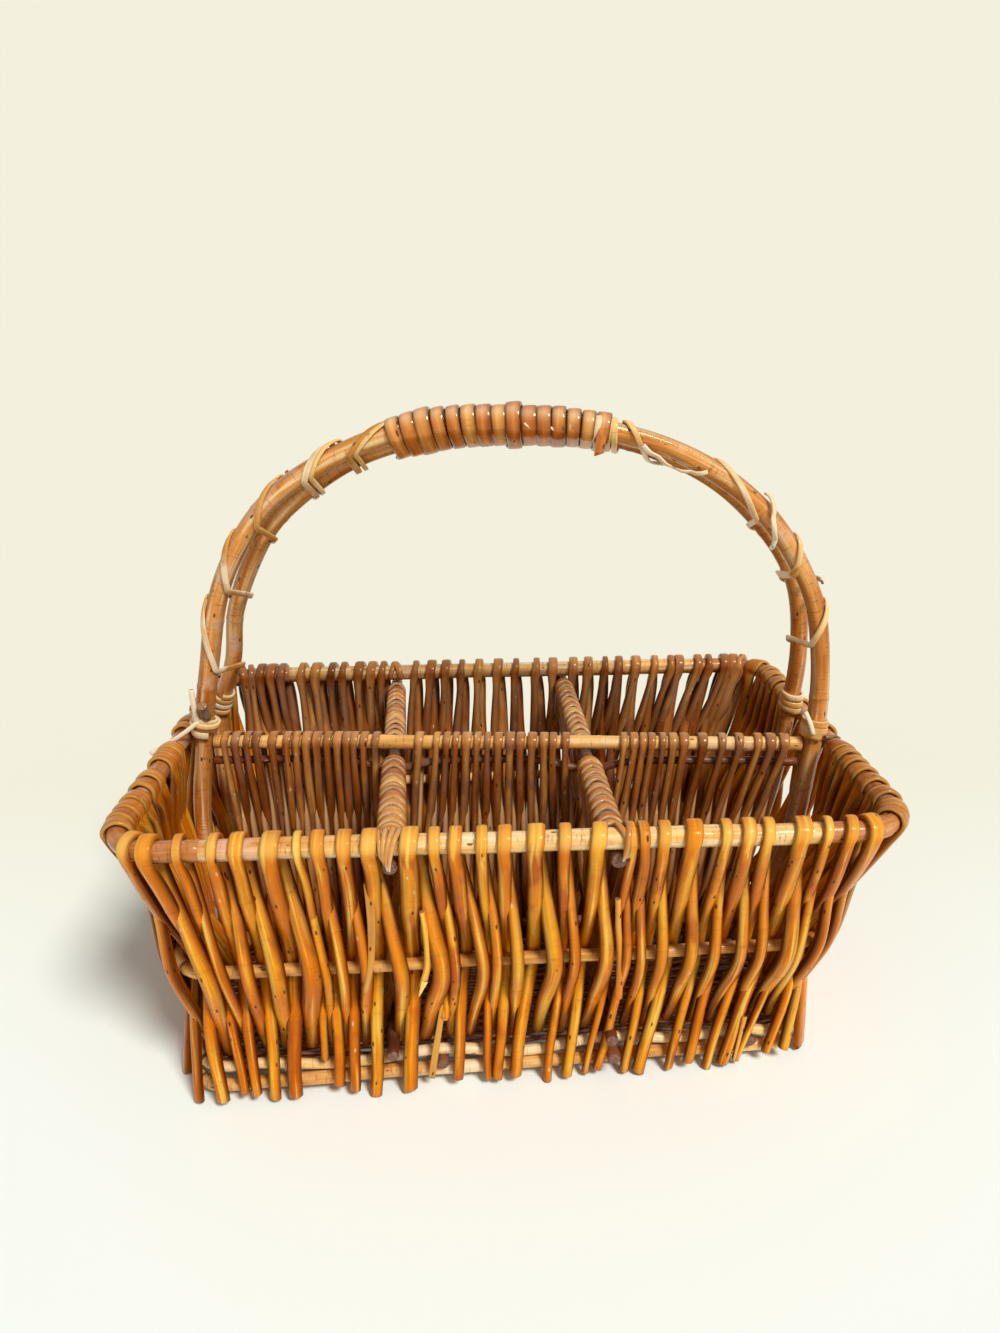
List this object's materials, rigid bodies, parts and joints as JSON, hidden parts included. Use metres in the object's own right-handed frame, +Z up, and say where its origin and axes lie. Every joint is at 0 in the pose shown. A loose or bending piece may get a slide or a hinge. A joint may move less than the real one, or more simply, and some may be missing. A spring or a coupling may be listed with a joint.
{
  "type": "divided basket",
  "caption": "Rectangular skeleton-rod willow basket with woven dividers that make open compartments, flared walls of folded stakes and a fixed arched handle with a cane-wound grip.",
  "frame": {"origin": "centre of the bounding box on the plane that the stakes' feet stand on", "axes": "+X along the basket, +Y from the front wall in the picture to the back wall, +Z up to the handle"},
  "size_m": [0.4107, 0.2614, 0.3574],
  "materials": {
    "amber_willow": "glossy varnished whole and split willow, honey amber with darker knots",
    "rim_willow": "glossy varnished peeled willow, pinkish tan",
    "blond_willow": "varnished peeled willow, blond",
    "brown_willow": "varnished willow, red brown",
    "grip_cane": "glossy varnished flat cane, deep red brown",
    "pale_willow": "split willow skein, pale cream blond, slightly glossy"
  },
  "bodies": {
    "root": {"rim_rod_front": "rim_willow", "middle_rail_front": "blond_willow", "lower_base_rod_front": "blond_willow", "upper_base_rod_front": "blond_willow", "rim_rod_right": "rim_willow", "middle_rail_right": "blond_willow", "lower_base_rod_right": "blond_willow", "upper_base_rod_right": "blond_willow", "rim_rod_back": "rim_willow", "middle_rail_back": "blond_willow", "lower_base_rod_back": "blond_willow", "upper_base_rod_back": "blond_willow", "rim_rod_left": "rim_willow", "middle_rail_left": "blond_willow", "lower_base_rod_left": "blond_willow", "upper_base_rod_left": "blond_willow", "floor_rib_1": "brown_willow", "floor_rib_2": "brown_willow", "floor_rib_3": "brown_willow", "floor_rib_4": "brown_willow", "floor_weave": "brown_willow", "front_stakes_left": "amber_willow", "front_stakes_middle": "amber_willow", "front_stakes_right": "amber_willow", "back_stakes_right": "amber_willow", "back_stakes_middle": "amber_willow", "back_stakes_left": "amber_willow", "right_stakes_front": "amber_willow", "right_stakes_middle": "amber_willow", "right_stakes_rear": "amber_willow", "left_stakes_rear": "amber_willow", "left_stakes_middle": "amber_willow", "left_stakes_front": "amber_willow", "long_divider_rail": "rim_willow", "long_divider_second_rail": "blond_willow", "long_divider_bottom_rail": "brown_willow", "long_divider_stakes_left": "amber_willow", "long_divider_stakes_middle": "amber_willow", "long_divider_stakes_right": "amber_willow", "left_divider_rail": "rim_willow", "left_divider_bottom_rail": "brown_willow", "left_divider_stakes_front": "amber_willow", "left_divider_stakes_rear": "amber_willow", "left_divider_lashing_front": "pale_willow", "right_divider_rail": "rim_willow", "right_divider_bottom_rail": "brown_willow", "right_divider_stakes_front": "amber_willow", "right_divider_stakes_rear": "amber_willow", "right_divider_lashing_front": "pale_willow", "left_divider_lashing_back": "pale_willow", "handle_rod_front": "amber_willow", "handle_rod_back": "amber_willow", "handle_grip_wrap": "grip_cane", "handle_binder_left": "pale_willow", "handle_binder_right": "pale_willow", "handle_lashing_left_front": "pale_willow", "handle_lashing_right_front": "pale_willow", "handle_lashing_left_back": "pale_willow", "handle_lashing_right_back": "pale_willow"}
  },
  "joints": []
}
